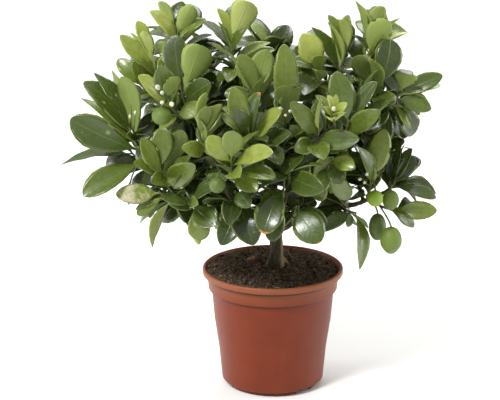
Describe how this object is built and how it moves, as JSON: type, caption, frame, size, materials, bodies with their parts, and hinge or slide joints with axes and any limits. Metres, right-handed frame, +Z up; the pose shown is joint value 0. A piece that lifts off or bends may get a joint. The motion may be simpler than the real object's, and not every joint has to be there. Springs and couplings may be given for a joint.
{
  "type": "potted calamondin",
  "caption": "Small citrus tree with glossy leafy shoots, green fruit and white buds on a short woody trunk, in a round tapered plastic pot of soil.",
  "frame": {"origin": "centre of the pot's underside, on the flat middle pad it stands on", "axes": "+Z up along the pot's axis, -Y to the front of the crown, +X to its right"},
  "size_m": [0.454, 0.3404, 0.478],
  "materials": {
    "pot_plastic": "thin moulded terracotta coloured plastic with a soft sheen",
    "potting_soil": "dark crumbly peat soil with pale fibres and bark chips",
    "bark": "dark grey brown bark, rough, with a pale scar at the foot",
    "leaf": "glossy dark green upper face, matt yellow green underside, pale midrib",
    "fruit_skin": "unripe green citrus skin with fine pores",
    "bud": "waxy white petals"
  },
  "bodies": {
    "root": {"pot": "pot_plastic", "soil": "potting_soil", "trunk": "bark", "shoot_crown_left": "leaf", "shoot_crown_left_face": "leaf", "shoot_left_upper": "leaf", "shoot_left_budding": "leaf", "shoot_far_left": "leaf", "shoot_left_back": "leaf", "shoot_left_reach": "leaf", "shoot_left_low_front": "leaf", "shoot_left_under": "leaf", "shoot_low_left": "leaf", "shoot_low_middle_left": "leaf", "shoot_low_middle": "leaf", "shoot_low_middle_right": "leaf", "shoot_front_middle": "leaf", "shoot_front_left_upper": "leaf", "shoot_front_centre": "leaf", "shoot_crown_middle": "leaf", "shoot_upper_centre": "leaf", "shoot_upper_centre_right": "leaf", "shoot_crown_middle_right": "leaf", "shoot_crown_right_inner": "leaf", "shoot_crown_right": "leaf", "shoot_right_upper": "leaf", "shoot_right_outer": "leaf", "shoot_front_right_upper": "leaf", "shoot_front_star": "leaf", "shoot_front_right": "leaf", "shoot_front_right_low": "leaf", "shoot_front_low": "leaf", "shoot_right_low": "leaf", "shoot_right_low_outer": "leaf", "shoot_right_bottom": "leaf", "shoot_right_hanging": "leaf", "shoot_back_top": "leaf", "shoot_back_left_top": "leaf", "shoot_back_right_top": "leaf", "shoot_back_left": "leaf", "shoot_back_right": "leaf", "shoot_back_middle": "leaf", "shoot_back_low_left": "leaf", "shoot_back_low_right": "leaf", "shoot_back_low": "leaf", "shoot_left_side": "leaf", "shoot_right_side": "leaf", "fruit_ripening": "fruit_skin", "fruit_right": "fruit_skin", "fruit_long": "fruit_skin", "fruit_low": "fruit_skin", "fruit_front": "fruit_skin", "fruit_left": "fruit_skin", "buds_left": "bud", "buds_left_middle": "bud", "buds_centre": "bud", "buds_right": "bud", "bud_star": "bud"}
  },
  "joints": []
}
